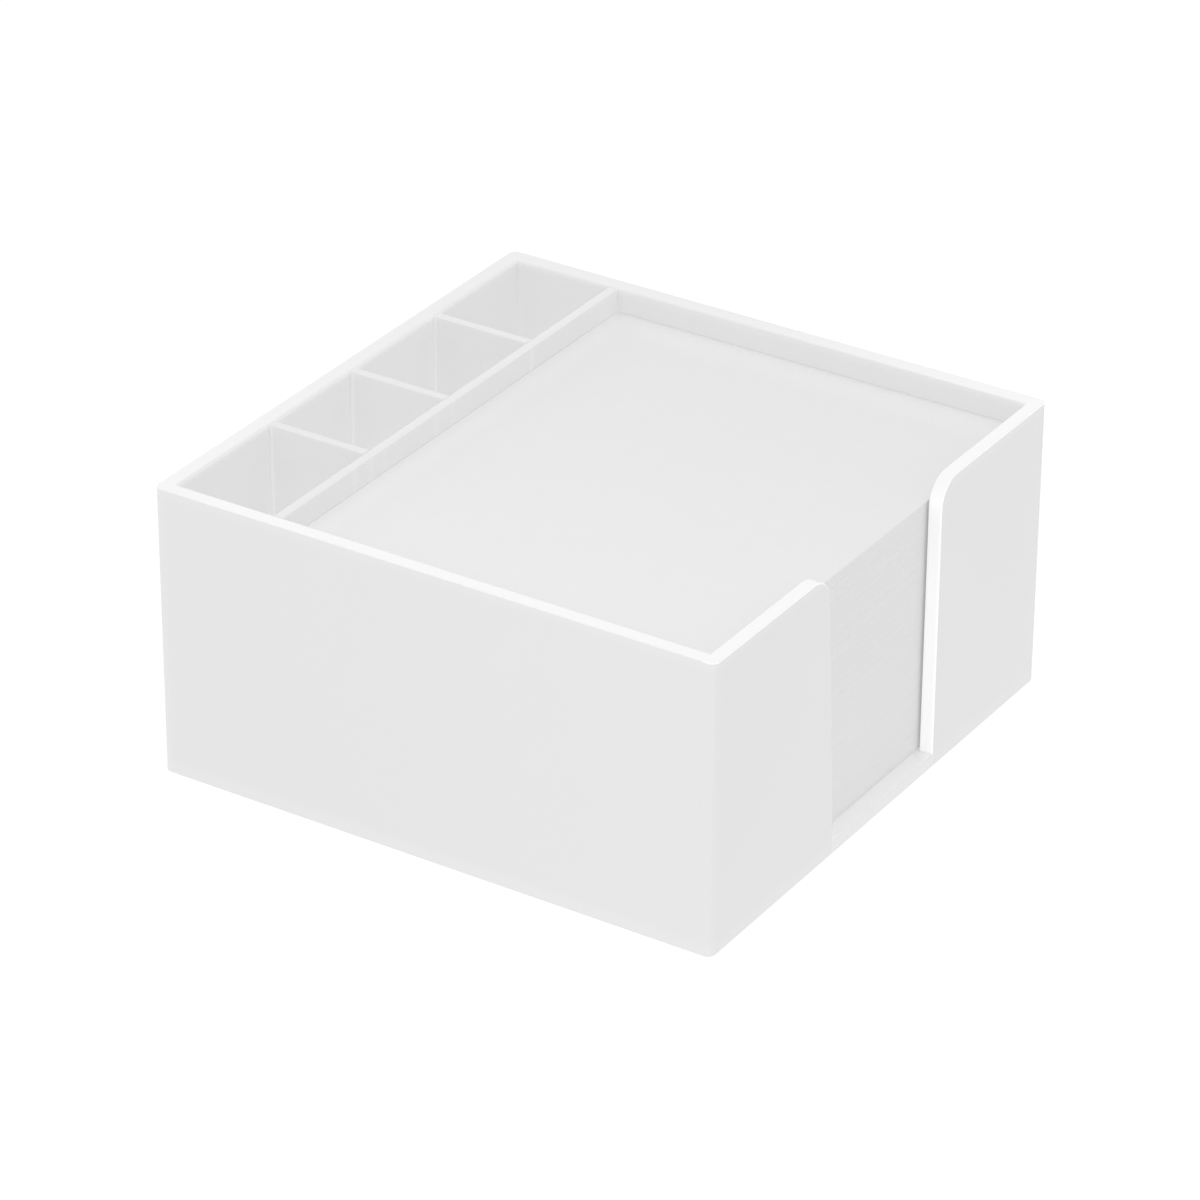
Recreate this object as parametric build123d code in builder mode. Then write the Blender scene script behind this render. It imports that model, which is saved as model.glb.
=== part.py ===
from build123d import *
import os

# Open-topped desk holder bonded from opal sheet: a nearly square tray whose left
# strip is split into four small bays, with a finger notch in the right wall of the
# note well, and a stack of loose note sheets in the well.
# +X right, +Y to the rear, +Z up. Origin at the middle of the footprint, on the
# surface that the holder stands on. Millimetres.

os.makedirs("parts", exist_ok=True)

# ---- driving dimensions ----
width = 136.0          # outside, left to right
depth = 135.0          # outside, front to rear
height = 68.0          # outside, floor to rim
wall_t = 3.2           # front and right walls
left_t = 4.0           # left wall
rear_t = 4.5           # rear wall
base_t = 3.0           # floor sheet
divider_t = 2.4        # divider sheet
divider_drop = 0.0     # divider tops stand this far under the rim
corner_r = 1.8         # rounded upright corners outside
rim_ease = 0.35        # polished edge of the rim and notch
rim_round = 0.7        # fuller round on the inner rim of the left and rear walls
foot_ease = 0.2        # eased edge along the bottom
divider_ease = 0.3     # polished edge of the divider tops

notch_rear = 22.2      # finger notch, upright rear side, along Y
notch_front = -19.15   # finger notch, front side at the floor
notch_lean = 0.065     # the front side leans forwards by this much per mm of height
notch_r = 6.4          # rounded shoulders of the notch

strip_w = 24.1         # clear width of the left strip
cross_y = (-30.9, -1.1, 30.9)    # middles of the three cross dividers

sheet_w = 101.6        # note sheet, along X
sheet_d = 127.0        # note sheet, along Y
stack_h = 59.7         # height of the pile of sheets
stack_side_gap = 0.12  # clearance left of the pile
stack_front_gap = 0.15 # clearance in front of the pile

# ---- derived positions ----
x_in = width / 2 - wall_t           # inside of the right wall
x_left = -width / 2 + left_t        # inside of the left wall
y_front = -depth / 2 + wall_t       # inside of the front wall
y_rear = depth / 2 - rear_t         # inside of the rear wall
in_w = x_in - x_left
in_d = y_rear - y_front
mid_x = (x_in + x_left) / 2
mid_y = (y_front + y_rear) / 2
divider_x = x_left + strip_w + divider_t / 2
well_x0 = divider_x + divider_t / 2
divider_h = height - divider_drop - base_t
notch_top = notch_front - notch_lean * height    # front side of the notch at the rim
notch_base = notch_front - notch_lean * base_t   # and at the top of the floor sheet
notch_reach = notch_r - notch_top + 0.01
stack_x = well_x0 + stack_side_gap + sheet_w / 2
stack_y = y_front + stack_front_gap + sheet_d / 2


# ---- outer form shared by the walls: a ring with rounded corners and the notch ----
with BuildPart() as wall_form:
    with BuildSketch(Plane.XY) as outline:
        RectangleRounded(width, depth, corner_r)
        with Locations((mid_x, mid_y)):
            Rectangle(in_w, in_d, mode=Mode.SUBTRACT)
    extrude(amount=height)
    # finger notch: through the right wall and open at the top
    with BuildSketch(Plane.YZ.offset(x_in - 1)) as notch:
        Polygon(
            (notch_front, 0), (notch_rear, 0), (notch_rear, height), (notch_top, height), align=None
        )
    extrude(amount=wall_t + 2, mode=Mode.SUBTRACT)
    # round shoulders where the notch meets the rim
    shoulders = (
        wall_form.edges()
        .filter_by(Axis.X)
        .filter_by(lambda e: abs(e.center().Z - height) < 0.01)
        .filter_by(
            lambda e: abs(e.center().Y - notch_rear) < 0.01 or abs(e.center().Y - notch_top) < 0.01
        )
    )
    fillet(shoulders, radius=notch_r)
    # fuller round along the inner rim of the left and rear walls
    inner_rim = wall_form.edges().filter_by(lambda e: e.center().Z > height - 0.01)
    fillet(
        inner_rim.filter_by(
            lambda e: abs(e.center().X - x_left) < 0.01 or abs(e.center().Y - y_rear) < 0.01
        ),
        radius=rim_round,
    )
    # eased edges: outside and inside of the rim, over the shoulders, down the notch
    on_rim = wall_form.edges().filter_by(lambda e: e.center().Z > height - 0.01)
    on_notch = (
        wall_form.edges()
        .filter_by(lambda e: e.center().X > x_in - 0.01)
        .filter_by(lambda e: abs(e.center().Y) < notch_reach)
        .filter_by(lambda e: 1.0 < e.center().Z < height - 0.01)
        .filter_by(lambda e: abs(e.tangent_at(0.5).X) < 0.5)
    )
    rim_edges = ShapeList(
        [
            e
            for e in on_rim
            if not (e.geom_type == GeomType.LINE and abs(e.tangent_at(0.5).X) > 0.99
                    and abs(e.center().Y) < notch_reach)
            and abs(e.center().X - (x_left - rim_round)) > 0.01
            and abs(e.center().Y - (y_rear + rim_round)) > 0.01
        ]
        + list(on_notch)
    )
    fillet(rim_edges, radius=rim_ease)
    # eased edge round the foot, outside only
    foot = (
        wall_form.edges()
        .filter_by(lambda e: e.center().Z < 0.01)
        .filter_by(
            lambda e: abs(e.center().X) > width / 2 - corner_r
            or abs(e.center().Y) > depth / 2 - corner_r
        )
        .filter_by(
            lambda e: not (abs(e.tangent_at(0.5).X) > 0.99 and abs(e.center().Y) < depth / 2 - 1)
        )
        .filter_by(
            lambda e: not (abs(e.tangent_at(0.5).Y) > 0.99 and abs(e.center().X) < width / 2 - 1)
        )
    )
    fillet(foot, radius=foot_ease)

# ---- left wall: full depth, with both rounded corners ----
with BuildPart() as left_wall:
    add(wall_form.part)
    with BuildSketch(Plane.XY) as left_zone:
        with Locations((x_left - 5, 0)):
            Rectangle(10, depth + 4)
    extrude(amount=height + 2, mode=Mode.INTERSECT)
left_wall.part.label = "left_wall"
export_step(left_wall.part, "parts/left_wall.step")

# ---- right wall in front of the notch ----
with BuildPart() as right_wall_front:
    add(wall_form.part)
    with BuildSketch(Plane.XY) as right_front_zone:
        with Locations((x_in + 5, -depth / 2)):
            Rectangle(10, depth - 1)
    extrude(amount=height + 2, mode=Mode.INTERSECT)
right_wall_front.part.label = "right_wall_front"
export_step(right_wall_front.part, "parts/right_wall_front.step")

# ---- right wall behind the notch ----
with BuildPart() as right_wall_rear:
    add(wall_form.part)
    with BuildSketch(Plane.XY) as right_rear_zone:
        with Locations((x_in + 5, depth / 2)):
            Rectangle(10, depth - 1)
    extrude(amount=height + 2, mode=Mode.INTERSECT)
right_wall_rear.part.label = "right_wall_rear"
export_step(right_wall_rear.part, "parts/right_wall_rear.step")

# ---- front wall: fits between the side walls ----
with BuildPart() as front_wall:
    add(wall_form.part)
    with BuildSketch(Plane.XY) as front_zone:
        with Locations((mid_x, y_front - 5)):
            Rectangle(in_w, 10)
    extrude(amount=height + 2, mode=Mode.INTERSECT)
front_wall.part.label = "front_wall"
export_step(front_wall.part, "parts/front_wall.step")

# ---- rear wall: fits between the side walls ----
with BuildPart() as rear_wall:
    add(wall_form.part)
    with BuildSketch(Plane.XY) as rear_zone:
        with Locations((mid_x, y_rear + 5)):
            Rectangle(in_w, 10)
    extrude(amount=height + 2, mode=Mode.INTERSECT)
rear_wall.part.label = "rear_wall"
export_step(rear_wall.part, "parts/rear_wall.step")

# ---- floor sheet, with the tongue that closes the bottom of the notch ----
with BuildPart() as base_plate:
    with BuildSketch(Plane.XY) as floor_outline:
        with Locations((mid_x, mid_y)):
            Rectangle(in_w, in_d)
    extrude(amount=base_t)
    with BuildSketch(Plane.YZ.offset(x_in)) as tongue:
        Polygon(
            (notch_front, 0), (notch_rear, 0), (notch_rear, base_t), (notch_base, base_t), align=None
        )
    extrude(amount=wall_t)
    tongue_edges = (
        base_plate.edges()
        .filter_by(Axis.Y)
        .filter_by(lambda e: e.center().X > width / 2 - 0.01)
        .sort_by(Axis.Z)
    )
    fillet(tongue_edges[0], radius=foot_ease)
    fillet(
        base_plate.edges()
        .filter_by(Axis.Y)
        .filter_by(lambda e: e.center().X > width / 2 - 0.01 and e.center().Z > base_t - 0.01),
        radius=rim_ease,
    )
base_plate.part.label = "base_plate"
export_step(base_plate.part, "parts/base_plate.step")

# ---- long divider between the strip and the note well ----
with BuildPart() as long_divider:
    with BuildSketch(Plane.XY.offset(base_t)) as long_foot:
        with Locations((divider_x, mid_y)):
            Rectangle(divider_t, in_d)
    extrude(amount=divider_h)
    fillet(long_divider.faces().sort_by(Axis.Z)[-1].edges().filter_by(Axis.Y), radius=divider_ease)
long_divider.part.label = "long_divider"
export_step(long_divider.part, "parts/long_divider.step")

# ---- three cross dividers in the strip ----
strip_x = x_left + strip_w / 2

with BuildPart() as cross_divider_front:
    with BuildSketch(Plane.XY.offset(base_t)) as cross_front_foot:
        with Locations((strip_x, cross_y[0])):
            Rectangle(strip_w, divider_t)
    extrude(amount=divider_h)
    fillet(cross_divider_front.faces().sort_by(Axis.Z)[-1].edges().filter_by(Axis.X), radius=divider_ease)
cross_divider_front.part.label = "cross_divider_front"
export_step(cross_divider_front.part, "parts/cross_divider_front.step")

with BuildPart() as cross_divider_middle:
    with BuildSketch(Plane.XY.offset(base_t)) as cross_middle_foot:
        with Locations((strip_x, cross_y[1])):
            Rectangle(strip_w, divider_t)
    extrude(amount=divider_h)
    fillet(cross_divider_middle.faces().sort_by(Axis.Z)[-1].edges().filter_by(Axis.X), radius=divider_ease)
cross_divider_middle.part.label = "cross_divider_middle"
export_step(cross_divider_middle.part, "parts/cross_divider_middle.step")

with BuildPart() as cross_divider_rear:
    with BuildSketch(Plane.XY.offset(base_t)) as cross_rear_foot:
        with Locations((strip_x, cross_y[2])):
            Rectangle(strip_w, divider_t)
    extrude(amount=divider_h)
    fillet(cross_divider_rear.faces().sort_by(Axis.Z)[-1].edges().filter_by(Axis.X), radius=divider_ease)
cross_divider_rear.part.label = "cross_divider_rear"
export_step(cross_divider_rear.part, "parts/cross_divider_rear.step")

# ---- pile of loose note sheets, lying on the floor sheet ----
with BuildPart() as note_stack:
    with BuildSketch(Plane.XY.offset(base_t)) as sheet_outline:
        with Locations((stack_x, stack_y)):
            Rectangle(sheet_w, sheet_d)
    extrude(amount=stack_h)
note_stack.part.label = "note_stack"
export_step(note_stack.part, "parts/note_stack.step")

for made in (left_wall, right_wall_front, right_wall_rear, front_wall, rear_wall, base_plate,
             long_divider, cross_divider_front, cross_divider_middle, cross_divider_rear, note_stack):
    box = made.part.bounding_box()
    print(made.part.label, len(made.part.solids()), box.min, box.max)
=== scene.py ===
import math
import random

import bpy
from mathutils import Matrix, Vector


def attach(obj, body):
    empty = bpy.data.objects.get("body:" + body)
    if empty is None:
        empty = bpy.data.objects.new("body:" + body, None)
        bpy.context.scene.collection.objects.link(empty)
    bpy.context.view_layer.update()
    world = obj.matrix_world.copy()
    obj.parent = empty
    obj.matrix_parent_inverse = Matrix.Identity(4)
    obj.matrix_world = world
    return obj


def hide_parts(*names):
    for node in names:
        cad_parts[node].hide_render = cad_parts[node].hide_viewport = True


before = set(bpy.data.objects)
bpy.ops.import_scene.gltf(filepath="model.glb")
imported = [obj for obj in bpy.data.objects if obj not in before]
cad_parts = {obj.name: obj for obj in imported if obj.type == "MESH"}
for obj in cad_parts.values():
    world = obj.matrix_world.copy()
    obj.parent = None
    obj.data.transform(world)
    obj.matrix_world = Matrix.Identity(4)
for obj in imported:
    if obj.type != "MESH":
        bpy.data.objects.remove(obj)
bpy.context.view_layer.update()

# Opal acrylic desk holder with a pile of loose note sheets. Row frame, metres:
# +X right, +Y to the rear, +Z up, origin at the middle of the footprint.

WIDTH, DEPTH, HEIGHT = 0.136, 0.135, 0.068
X_LEFT, X_RIGHT = -0.0640, 0.0648      # inner faces of the side walls
Y_FRONT, Y_REAR = -0.0643, 0.0630      # inner faces of the front and rear walls
DIVIDERS = (-0.0309, -0.0011, 0.0309)  # middles of the cross dividers
DIVIDER = 0.0024

scene = bpy.context.scene

# ---------------------------------------------------------------- camera
# A long lens from the front right, recovered from the object's own edges.
cam_data = bpy.data.cameras.new("camera")
cam_data.sensor_fit = "HORIZONTAL"
cam_data.sensor_width = 36.0
cam_data.lens = 166.811
cam_data.clip_start, cam_data.clip_end = 0.05, 20.0
cam = bpy.data.objects.new("camera", cam_data)
scene.collection.objects.link(cam)
right = Vector((0.8428801, 0.5380813, 0.0046402))
up = Vector((-0.2651398, 0.4077949, 0.87373))
back = Vector((0.4682456, -0.73768, 0.486389))
cam.matrix_world = Matrix(
    (
        (right.x, up.x, back.x, 0.552516),
        (right.y, up.y, back.y, -0.873006),
        (right.z, up.z, back.z, 0.605453),
        (0, 0, 0, 1),
    )
)
scene.camera = cam


# ---------------------------------------------------------------- node helpers
class Nodes:
    """A material's node tree with short ways to add what the surfaces here need."""

    def __init__(self, name):
        self.mat = bpy.data.materials.new(name)
        self.mat.use_nodes = True
        self.tree = self.mat.node_tree
        self.tree.nodes.clear()
        self.out = self.add("ShaderNodeOutputMaterial")
        self.shader = self.add("ShaderNodeBsdfPrincipled")
        self.link(self.shader.outputs["BSDF"], self.out.inputs["Surface"])
        self.coords = self.add("ShaderNodeTexCoord")
        split = self.add("ShaderNodeSeparateXYZ")
        self.link(self.coords.outputs["Object"], split.inputs[0])
        self.x, self.y, self.z = split.outputs
        facing = self.add("ShaderNodeSeparateXYZ")
        self.link(self.coords.outputs["Normal"], facing.inputs[0])
        self.nx, self.ny, self.nz = facing.outputs

    def add(self, kind):
        return self.tree.nodes.new(kind)

    def link(self, a, b):
        self.tree.links.new(a, b)

    def put(self, socket, value):
        if hasattr(value, "links"):
            self.link(value, socket)
        else:
            socket.default_value = value

    def math(self, op, a, b=0.0, clamp=False):
        n = self.add("ShaderNodeMath")
        n.operation = op
        n.use_clamp = clamp
        self.put(n.inputs[0], a)
        self.put(n.inputs[1], b)
        return n.outputs[0]

    def ramp(self, value, low, high, out_low=0.0, out_high=1.0, smooth=True):
        """value mapped from low..high to out_low..out_high, eased at both ends."""
        n = self.add("ShaderNodeMapRange")
        n.interpolation_type = "SMOOTHSTEP" if smooth else "LINEAR"
        n.clamp = True
        self.put(n.inputs["Value"], value)
        n.inputs["From Min"].default_value = low
        n.inputs["From Max"].default_value = high
        n.inputs["To Min"].default_value = out_low
        n.inputs["To Max"].default_value = out_high
        return n.outputs["Result"]

    def noise(self, scale, detail=2.0, rough=0.5, stretch=(1, 1, 1), shift=(0, 0, 0)):
        m = self.add("ShaderNodeMapping")
        m.inputs["Scale"].default_value = stretch
        m.inputs["Location"].default_value = shift
        self.link(self.coords.outputs["Object"], m.inputs["Vector"])
        n = self.add("ShaderNodeTexNoise")
        self.link(m.outputs["Vector"], n.inputs["Vector"])
        n.inputs["Scale"].default_value = scale
        n.inputs["Detail"].default_value = detail
        n.inputs["Roughness"].default_value = rough
        return n.outputs["Fac"]

    def mix(self, fac, a, b):
        """a plain number between a and b."""
        n = self.add("ShaderNodeMix")
        n.data_type = "FLOAT"
        self.put(n.inputs["Factor"], fac)
        self.put(n.inputs["A"], a)
        self.put(n.inputs["B"], b)
        return n.outputs["Result"]

    def grey(self, value, tint=(1.0, 1.0, 1.0)):
        """a near-neutral colour from one brightness."""
        n = self.add("ShaderNodeCombineColor")
        for i, t in enumerate(tint):
            self.link(self.math("MULTIPLY", value, t), n.inputs[i])
        return n.outputs[0]

    def bump(self, height, distance, strength=1.0, under=None):
        n = self.add("ShaderNodeBump")
        n.inputs["Strength"].default_value = strength
        n.inputs["Distance"].default_value = distance
        self.put(n.inputs["Height"], height)
        if under is not None:
            self.link(under, n.inputs["Normal"])
        return n.outputs["Normal"]


# Brightness of the sheet by region, with painted light and shade in it. The sheet is translucent: light that crosses
# the walls evens out the shade inside the tray, and light led through it comes out of the cut edges. Both are stood for
# by a little light of the surface's own, a painted glow (emission), and by lighter painted tones on the cut edges; the
# tones also run lighter or darker along faces and rims as painted light and shade.
OUT = 0.785                       # outer faces
# painted light: the front's outer face is painted lighter than the other outer faces, and lighter to the right
OUT_FRONT = 0.793, 0.809          # the front, from the left end to the right end
# INNER is a darker painted tone for the faces inside the tray; THROUGH and THROUGH_BAY are a painted glow (emission) on
# them, for light through the walls
INNER = 0.60                      # faces inside the tray, with THROUGH
THROUGH, THROUGH_BAY = 0.246, 0.232
# painted edge glow: the rims are painted lighter than the faces, each running lighter or darker along its length as
# painted light and shade
RIM_FRONT, RIM_RIGHT = 0.905, 0.909
RIM_LEFT = 0.817, 0.878           # rear end, front end
RIM_REAR = 0.817, 0.889           # left end, right end
RIM_LONG, RIM_CROSS = 0.790, 0.782
# NOTCH is a painted glow (emission) on the notch's upright sides
NOTCH = 0.175                     # light out of the notch's upright sides
# GAP is a painted glow (emission) on the right walls' inner faces
GAP = 0.225                       # light through the right wall into the gap beside the pile
# the floor sheet's exposed top is painted lighter than the outer faces and given a painted glow (TONGUE_LIGHT): painted
# light
TONGUE, TONGUE_EDGE = 0.857, 0.83  # the floor sheet where it closes the notch
TONGUE_LIGHT = 0.045


def acrylic(node, thin):
    """Opal sheet. thin is the sheet's thin axis, x, y or z: what faces across it is a cut edge."""
    m = Nodes("opal_" + node)
    add, times = lambda a, b: m.math("ADD", a, b), lambda a, b: m.math("MULTIPLY", a, b)
    along = {"x": m.nx, "y": m.ny, "z": m.nz}[thin]
    inside = times(
        times(m.ramp(m.x, X_LEFT - 0.0022, X_LEFT - 0.0012), m.ramp(m.x, X_RIGHT + 0.0016, X_RIGHT + 0.0010)),
        times(m.ramp(m.y, Y_FRONT - 0.0016, Y_FRONT - 0.0010), m.ramp(m.y, Y_REAR + 0.0022, Y_REAR + 0.0012)),
    )
    # the underside is an outer face too
    inside = times(inside, m.ramp(m.nz, -0.6, -0.3))
    # outer faces, with painted light: the front is painted a little brighter, more so to the right and at its ends
    to_front = m.ramp(m.ny, -0.5, -0.8)
    front = m.ramp(m.x, -0.050, 0.050, *OUT_FRONT, smooth=False)
    front = add(front, m.ramp(m.x, -0.0648, -0.0672, 0.0, 0.016))
    front = add(front, m.ramp(m.x, 0.0650, 0.0672, 0.0, 0.008))
    # painted light and shade on the outer faces: a little darker higher up, lighter along the bottom and the top edge,
    # and lighter near the front edge on the sides
    outer = m.mix(to_front, m.ramp(m.z, 0.060, 0.010, OUT - 0.003, OUT + 0.004), front)
    outer = add(outer, m.ramp(m.z, 0.0045, 0.0010, 0.0, 0.018))
    outer = add(outer, m.ramp(m.z, 0.0650, 0.0672, 0.0, 0.014))
    outer = add(outer, times(m.ramp(m.y, -0.0646, -0.0668, 0.0, 0.014), m.math("SUBTRACT", 1.0, to_front)))
    # inside the tray the darker painted tone, lit up again by the painted glow below
    tone = m.mix(inside, outer, INNER)
    # painted glow (emission) for light through the walls: it makes up for the shade lower down in the bays
    # the right walls' inner faces take the GAP painted glow
    through = GAP if node.startswith("right_wall") else THROUGH
    if node.startswith("cross_divider") or node == "left_wall":
        deep = 0.043 if node.startswith("cross_divider") else 0.029
        through = add(m.ramp(m.z, 0.0668, 0.0520, 0.0, deep, smooth=False), THROUGH_BAY)
        # painted shade: less glow towards the rear
        through = add(through, m.ramp(m.y, 0.0285, 0.0320, 0.0, -0.011) if node == "left_wall" else m.ramp(m.y, 0.0200, 0.0290, 0.0, -0.010))
        if node == "left_wall":
            near = m.math("ABSOLUTE", m.math("SUBTRACT", m.y, DIVIDERS[0]))
            for y in DIVIDERS[1:] + (Y_REAR + DIVIDER / 2,):
                near = m.math("MINIMUM", near, m.math("ABSOLUTE", m.math("SUBTRACT", m.y, y)))
            near = m.math("SUBTRACT", near, DIVIDER / 2)
            # painted shade: the rounded inner edge is a little dimmer where it faces up
            through = m.math("SUBTRACT", through, m.ramp(m.nz, 0.4, 0.95, 0.0, 0.045))
        else:
            near = m.math("SUBTRACT", m.x, X_LEFT)
        # painted glow a little stronger close to the joints between the left wall and the cross dividers
        through = add(through, m.ramp(near, 0.0045, 0.0, 0.0, 0.014))
    elif node == "rear_wall":
        pen = m.ramp(m.x, -0.0384, -0.0388)
        low = m.ramp(m.z, 0.0668, 0.0520, 0.0, 0.043, smooth=False)
        low = add(low, m.ramp(m.math("SUBTRACT", m.x, X_LEFT), 0.0045, 0.0, 0.0, 0.014))
        # painted glow behind the pile: even along the wall, lifted just above the sheets
        level = m.ramp(m.math("ABSOLUTE", m.math("SUBTRACT", m.x, 0.0135)), 0.052, 0.044, -0.004, -0.032)
        level = add(level, m.ramp(m.z, 0.0634, 0.0628, 0.0, 0.034))
        level = add(level, m.ramp(m.x, -0.0355, -0.0368, 0.0, -0.012))
        through = m.mix(pen, add(level, THROUGH), add(low, THROUGH_BAY))
        # painted shade: less glow where the faces turn upwards
        through = m.math("SUBTRACT", through, m.ramp(m.nz, 0.05, 0.7, 0.0, 0.055))
    elif node == "long_divider":
        # one side faces the pile, the other the pen bays; both get a painted glow, on the pile side much less below the
        # pile's top
        through = m.mix(
            m.ramp(m.nx, 0.5, -0.5),
            add(m.ramp(m.z, 0.0634, 0.0628, -0.049, -0.006), THROUGH),
            add(m.ramp(m.z, 0.0668, 0.0520, 0.0, 0.043, smooth=False), THROUGH_BAY),
        )
    light = times(inside, through)
    # cut edges that show: the rim, and the notch's sides and shoulders; they get the lighter painted tone, a painted
    # edge glow
    side = m.math("ABSOLUTE", along)
    if node in ("left_wall", "rear_wall"):
        # the inner edge is a fuller round, and stays outside the bright band
        out_x, out_y = m.ramp(m.x, X_LEFT - 0.0006, X_LEFT - 0.0008), m.ramp(m.y, Y_REAR + 0.0006, Y_REAR + 0.0008)
        ends = m.math("MAXIMUM", m.ramp(m.y, -0.0642, -0.0644), m.ramp(m.y, 0.0634, 0.0638))
        out_x = m.math("MAXIMUM", out_x, ends)
        cut = times(m.ramp(side, 0.99, 0.93), out_x if node == "left_wall" else out_y)
    else:
        cut = m.ramp(side, 0.99, 0.93)
        if node == "front_wall":
            cut = times(cut, m.ramp(m.y, -0.0644, -0.0647))
    shows = m.ramp(m.nz, 0.02, 0.2)
    if node.startswith("right_wall"):
        notch = m.ramp(m.math("ABSOLUTE", m.y), 0.0400, 0.0350)
        shows = m.math("MAXIMUM", shows, notch)
    edge = times(cut, shows)
    if node.startswith("right_wall"):
        edge = times(edge, m.ramp(m.z, 0.0028, 0.0032))
        # painted glow at the foot of the notch's sides, lifting the shade where they meet the floor sheet
        light = add(light, times(times(m.ramp(m.z, 0.0032, 0.0028), times(notch, m.ramp(side, 0.97, 0.80))), 0.095))
    # painted light and shade along the rims: the left rim darker to the rear, the rear rim darker to the left, the
    # front rim darker at its left end
    if node == "left_wall":
        bright = m.ramp(m.y, 0.030, -0.066, *RIM_LEFT, smooth=False)
        bright = add(bright, m.ramp(m.y, -0.0620, -0.0650, 0.0, 0.006))
    elif node == "rear_wall":
        bright = m.ramp(m.x, -0.010, 0.066, *RIM_REAR, smooth=False)
    elif node == "long_divider":
        bright = RIM_LONG
    elif "divider" in node:
        bright = RIM_CROSS
    else:
        bright = m.ramp(m.x, -0.0640, -0.0500, 0.884, RIM_FRONT) if node == "front_wall" else RIM_RIGHT
    if node == "base_plate":
        over = m.ramp(m.x, X_RIGHT - 0.0006, X_RIGHT + 0.0002)
        tongue = m.mix(m.ramp(m.nz, 0.3, 0.7), TONGUE_EDGE, TONGUE)
        # painted shade: the tongue's eased edge is painted darker, which damps its highlight
        eased = times(m.ramp(m.nz, 0.05, 0.3), m.ramp(m.nz, 0.99, 0.85))
        tone = m.mix(over, tone, m.math("SUBTRACT", tongue, times(eased, 0.062)))
        light = m.mix(over, light, m.ramp(m.nz, 0.3, 0.7, 0.0, TONGUE_LIGHT))
        # its ends meet the walls' eased edges, where they sit in shade: a painted glow (emission) lifts them
        light = add(light, times(times(over, m.ramp(m.math("ABSOLUTE", m.ny), 0.5, 0.9)), 0.14))
    else:
        tone = m.mix(edge, tone, bright)
        # painted glow (emission) on the notch's upright sides, stronger lower down
        light = m.mix(edge, light, times(m.ramp(m.nz, 1.0, 0.1), m.ramp(m.z, 0.060, 0.035, NOTCH - 0.035, NOTCH)) if node.startswith("right_wall") else 0.0)
    # painted glow (emission) along the top of the left and rear walls' inner faces, just under the rim
    if node == "left_wall":
        light = add(light, times(times(inside, m.ramp(m.z, 0.0662, 0.0680, 0.0, 0.018)), m.math("SUBTRACT", 1.0, edge)))
    if node == "rear_wall":
        light = add(light, times(times(inside, m.ramp(m.z, 0.0658, 0.0680, 0.0, 0.010)), m.math("SUBTRACT", 1.0, edge)))
    if node.startswith("cross_divider"):
        # the bonded joint with the left wall shows as a light line, painted as a glow (emission)
        off = m.math("ABSOLUTE", m.math("SUBTRACT", m.x, -0.06335 if node != "cross_divider_rear" else -0.06355))
        light = add(light, times(times(m.ramp(off, 0.00045, 0.0002), m.ramp(m.ny, -0.6, -0.9)), 0.045))
    if node == "long_divider":
        # so do the joints behind its face, more faintly: painted light bands (emission) where the dividers would show
        # through the sheet
        faint = add(m.ramp(m.y, 0.0620, 0.0623, 0.0, 0.016), m.ramp(m.y, 0.0460, 0.0620, 0.0, 0.032))
        for y, much in ((-0.0388, 0.018), (-0.0327, 0.020), (-0.0278, 0.012), (-0.0085, 0.020), (-0.0022, 0.012), (0.0284, 0.028)):
            faint = add(faint, m.ramp(m.math("ABSOLUTE", m.math("SUBTRACT", m.y, y)), 0.0011, 0.0004, 0.0, much))
        light = add(light, times(faint, m.ramp(m.nx, 0.6, 0.9)))
    cloud = m.noise(45.0, 2.0)
    tone = add(tone, times(m.math("SUBTRACT", cloud, 0.5), 0.006))
    m.link(m.grey(tone), m.shader.inputs["Base Color"])
    m.shader.inputs["Emission Color"].default_value = (1, 1, 1, 1)
    m.link(light, m.shader.inputs["Emission Strength"])
    smudge = m.noise(70.0, 4.0, 0.6, shift=(3, 1, 2))
    m.link(m.ramp(smudge, 0.3, 0.75, 0.17, 0.27), m.shader.inputs["Roughness"])
    m.shader.inputs["IOR"].default_value = 1.49
    wave = m.bump(m.noise(60.0, 1.0), 0.00002, 0.6)
    m.link(wave, m.shader.inputs["Normal"])
    return m.mat


def give(node, material):
    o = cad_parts[node]
    o.data.materials.clear()
    o.data.materials.append(material)


THIN = {
    "base_plate": "z",
    "front_wall": "y",
    "rear_wall": "y",
    "left_wall": "x",
    "right_wall_front": "x",
    "right_wall_rear": "x",
    "long_divider": "x",
    "cross_divider_front": "y",
    "cross_divider_middle": "y",
    "cross_divider_rear": "y",
}
for node, thin in THIN.items():
    give(node, acrylic(node, thin))

# ---------------------------------------------------------------- paper
# Trimmed uncoated sheets. The fibres show as a faint mottle and a fine tooth.
paper = Nodes("note_paper")
up_face = paper.ramp(paper.nz, 0.4, 0.8)
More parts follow.
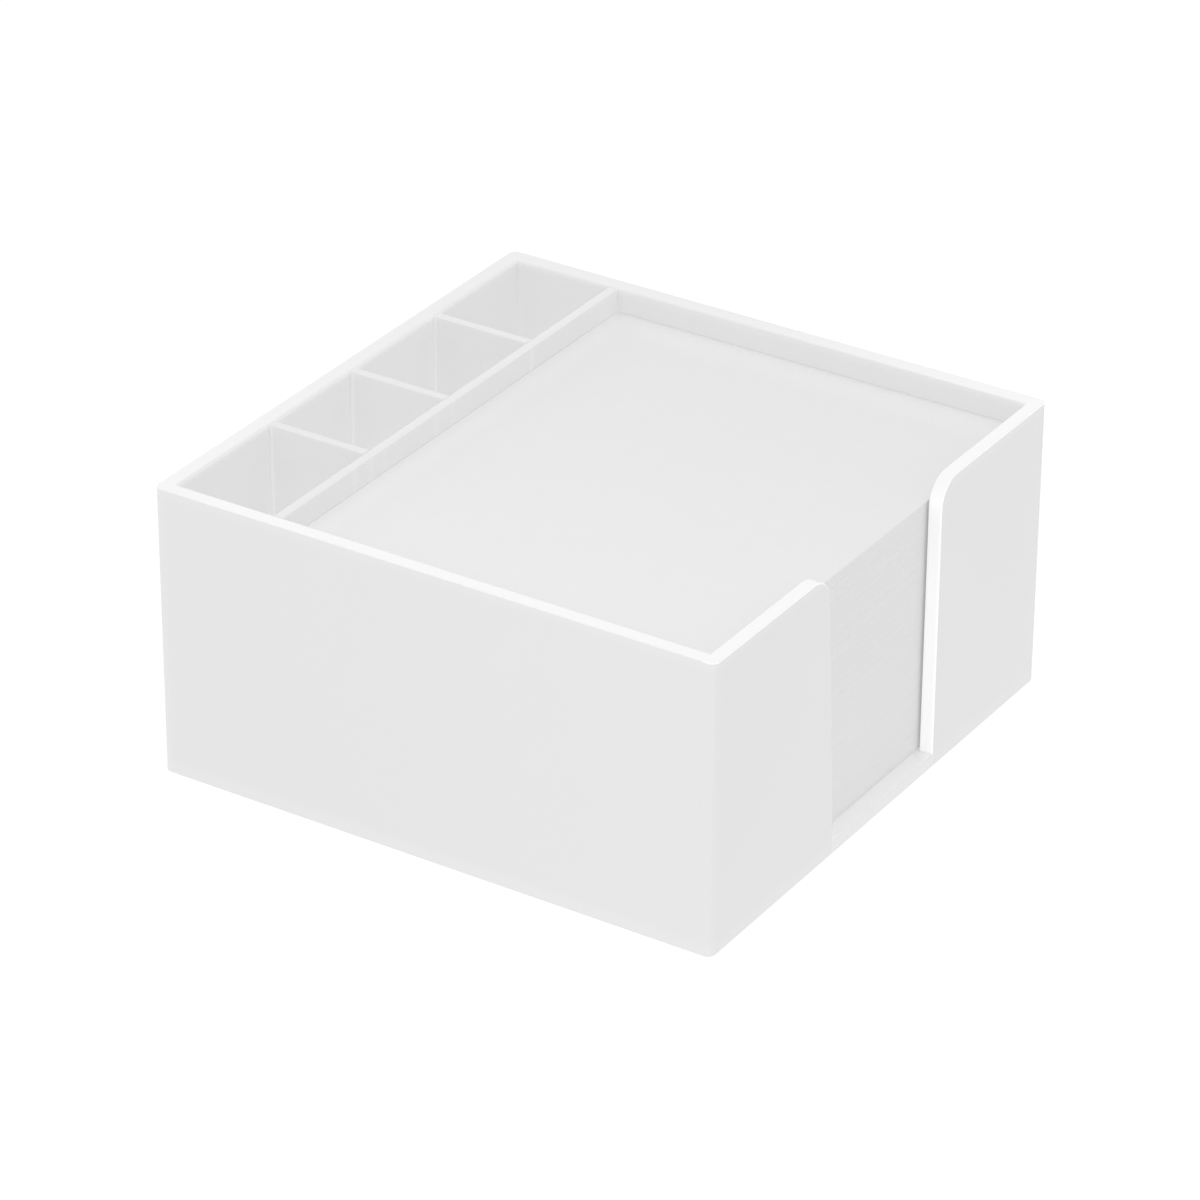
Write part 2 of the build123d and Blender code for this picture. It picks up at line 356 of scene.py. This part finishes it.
# painted light: the pile's top is painted lighter towards the front
top_tone = paper.ramp(paper.y, 0.035, -0.058, 0.770, 0.802, smooth=False)
tone = paper.mix(up_face, 0.771, top_tone)
mottle = paper.math("SUBTRACT", paper.noise(420.0, 5.0, 0.65), 0.5)
tone = paper.math("ADD", tone, paper.math("MULTIPLY", mottle, 0.016))
cloudy = paper.math("SUBTRACT", paper.noise(160.0, 3.0, 0.6, shift=(2, 7, 1)), 0.5)
tone = paper.math("ADD", tone, paper.math("MULTIPLY", cloudy, 0.012))
streak = paper.math("SUBTRACT", paper.noise(60.0, 3.0, 0.6, stretch=(1, 1, 90), shift=(5, 2, 1)), 0.5)
tone = paper.math("ADD", tone, paper.math("MULTIPLY", streak, paper.mix(up_face, 0.010, 0.0)))
paper.link(paper.grey(tone), paper.shader.inputs["Base Color"])
paper.link(paper.ramp(paper.noise(800.0, 2.0), 0.3, 0.7, 0.78, 0.9), paper.shader.inputs["Roughness"])
paper.shader.inputs["Specular IOR Level"].default_value = 0.25
# painted glow (emission) for light through the walls: it evens out the shade along the pile's rear and left edges and
# low on its side
glow = paper.math("MAXIMUM", paper.ramp(paper.x, -0.0285, -0.0365, 0.0, 0.044), paper.ramp(paper.y, 0.0500, 0.0610, 0.0, 0.036))
glow = paper.math("ADD", glow, paper.ramp(paper.x, -0.0360, -0.0374, 0.0, 0.035))
low = paper.math("ADD", paper.ramp(paper.z, 0.045, 0.008, 0.0, 0.010), paper.ramp(paper.z, 0.0085, 0.0030, 0.0, 0.035))
paper.link(paper.mix(up_face, low, glow), paper.shader.inputs["Emission Strength"])
paper.shader.inputs["Emission Color"].default_value = (1, 1, 1, 1)
tooth = paper.bump(paper.noise(3500.0, 3.0, 0.6), 0.000006, 0.5)
paper.link(tooth, paper.shader.inputs["Normal"])

# The pile as it is: single sheets, each laid a hair out of line with the next.
SHEET_X, SHEET_Y = (-0.03738, 0.06422), (-0.06415, 0.06285)
PILE_FROM, PILE_TO, SHEETS = 0.003, 0.0627, 597
SLACK = 0.000025


def note_pile():
    rng = random.Random(7)
    verts, faces = [], []
    pitch = (PILE_TO - PILE_FROM) / SHEETS
    half_x, half_y = (SHEET_X[1] - SHEET_X[0]) / 2 - SLACK, (SHEET_Y[1] - SHEET_Y[0]) / 2 - SLACK
    mid_x, mid_y = sum(SHEET_X) / 2, sum(SHEET_Y) / 2
    drift_x = drift_y = 0.0
    for i in range(SHEETS):
        drift_x = max(-1.0, min(1.0, drift_x * 0.8 + rng.uniform(-0.5, 0.5)))
        drift_y = max(-1.0, min(1.0, drift_y * 0.8 + rng.uniform(-0.5, 0.5)))
        if i == SHEETS - 1:
            drift_x = drift_y = 0.0
        cx, cy = mid_x + drift_x * SLACK * 0.7, mid_y + drift_y * SLACK * 0.7
        low, high = PILE_FROM + i * pitch, PILE_FROM + (i + 1) * pitch - (0.000004 if i < SHEETS - 1 else 0.0)
        # outline with a few points along each edge, so that the cut wanders a little
        ring = []
        for sx, sy, ex, ey, n in ((-1, -1, 1, -1, 6), (1, -1, 1, 1, 7), (1, 1, -1, 1, 6), (-1, 1, -1, -1, 7)):
            for k in range(n):
                t = k / n
                jog = 0.0 if k == 0 else rng.uniform(-1, 1) * SLACK * 0.25
                px, py = sx + (ex - sx) * t, sy + (ey - sy) * t
                px, py = cx + px * half_x, cy + py * half_y
                if sx == ex:
                    px += jog
                else:
                    py += jog
                ring.append((px, py))
        n, at = len(ring), len(verts)
        verts += [(px, py, low) for px, py in ring] + [(px, py, high) for px, py in ring]
        faces.append([at + k for k in reversed(range(n))])
        faces.append([at + n + k for k in range(n)])
        faces += [(at + k, at + (k + 1) % n, at + n + (k + 1) % n, at + n + k) for k in range(n)]
    mesh = bpy.data.meshes.new("note_pile")
    mesh.from_pydata(verts, [], faces)
    mesh.materials.append(paper.mat)
    mesh.update()
    obj = bpy.data.objects.new("note_pile", mesh)
    scene.collection.objects.link(obj)
    return obj


pile = note_pile()
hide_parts("note_stack")
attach(pile, "notes")

# ---------------------------------------------------------------- floor, light
floor_mesh = bpy.data.meshes.new("floor")
R = 3.0
floor_mesh.from_pydata([(-R, -R, 0), (R, -R, 0), (R, R, 0), (-R, R, 0)], [], [(0, 1, 2, 3)])
floor = bpy.data.objects.new("floor", floor_mesh)
scene.collection.objects.link(floor)
fmat = Nodes("floor_paint")
fmat.link(fmat.grey(fmat.math("ADD", 0.05, fmat.math("MULTIPLY", fmat.noise(30.0), 0.004))), fmat.shader.inputs["Base Color"])
fmat.shader.inputs["Emission Color"].default_value = (1, 1, 1, 1)
fmat.shader.inputs["Emission Strength"].default_value = 0.97
fmat.shader.inputs["Roughness"].default_value = 0.9
fmat.shader.inputs["Specular IOR Level"].default_value = 0.1
floor_mesh.materials.append(fmat.mat)

# The floor's mirror image in the upright faces is left to the dimmer lower dome, as grey
# flags beside a light table do, so the outline stays crisp against the white.
floor.visible_glossy = False

# A white dome with a soft box overhead.
DOME = 0.94
TOP = 1.8
TOP_FROM, TOP_TO = 0.90, 0.97
BELOW = 0.80
LEAN_X, LEAN_Y = -0.03, 0.0
world = bpy.data.worlds.new("studio")
scene.world = world
world.use_nodes = True
wt = world.node_tree
sky = wt.nodes["Background"]
way = wt.nodes.new("ShaderNodeTexCoord")
parts = wt.nodes.new("ShaderNodeSeparateXYZ")
wt.links.new(way.outputs["Generated"], parts.inputs[0])


def world_ramp(source, low, high, out_low, out_high):
    n = wt.nodes.new("ShaderNodeMapRange")
    n.interpolation_type = "SMOOTHSTEP"
    wt.links.new(source, n.inputs["Value"])
    n.inputs["From Min"].default_value = low
    n.inputs["From Max"].default_value = high
    n.inputs["To Min"].default_value = out_low
    n.inputs["To Max"].default_value = out_high
    return n.outputs["Result"]


def world_math(op, a, b):
    n = wt.nodes.new("ShaderNodeMath")
    n.operation = op
    for socket, v in zip(n.inputs, (a, b)):
        if hasattr(v, "links"):
            wt.links.new(v, socket)
        else:
            socket.default_value = v
    return n.outputs[0]


glow = world_math("ADD", world_ramp(parts.outputs["Z"], -0.03, 0.0, BELOW, DOME), world_ramp(parts.outputs["Z"], TOP_FROM, TOP_TO, 0.0, TOP - DOME))
glow = world_math("ADD", glow, world_math("MULTIPLY", parts.outputs["X"], LEAN_X))
glow = world_math("ADD", glow, world_math("MULTIPLY", parts.outputs["Y"], LEAN_Y))
wt.links.new(glow, sky.inputs["Strength"])
sky.inputs["Color"].default_value = (1, 1, 1, 1)

# a white tray keeps most of the light that falls into it, so light is followed for many bounces
scene.cycles.max_bounces = 32
scene.cycles.diffuse_bounces = 24

scene.view_settings.view_transform = "Standard"
scene.view_settings.look = "None"
scene.view_settings.exposure = 0.0
scene.view_settings.gamma = 1.0
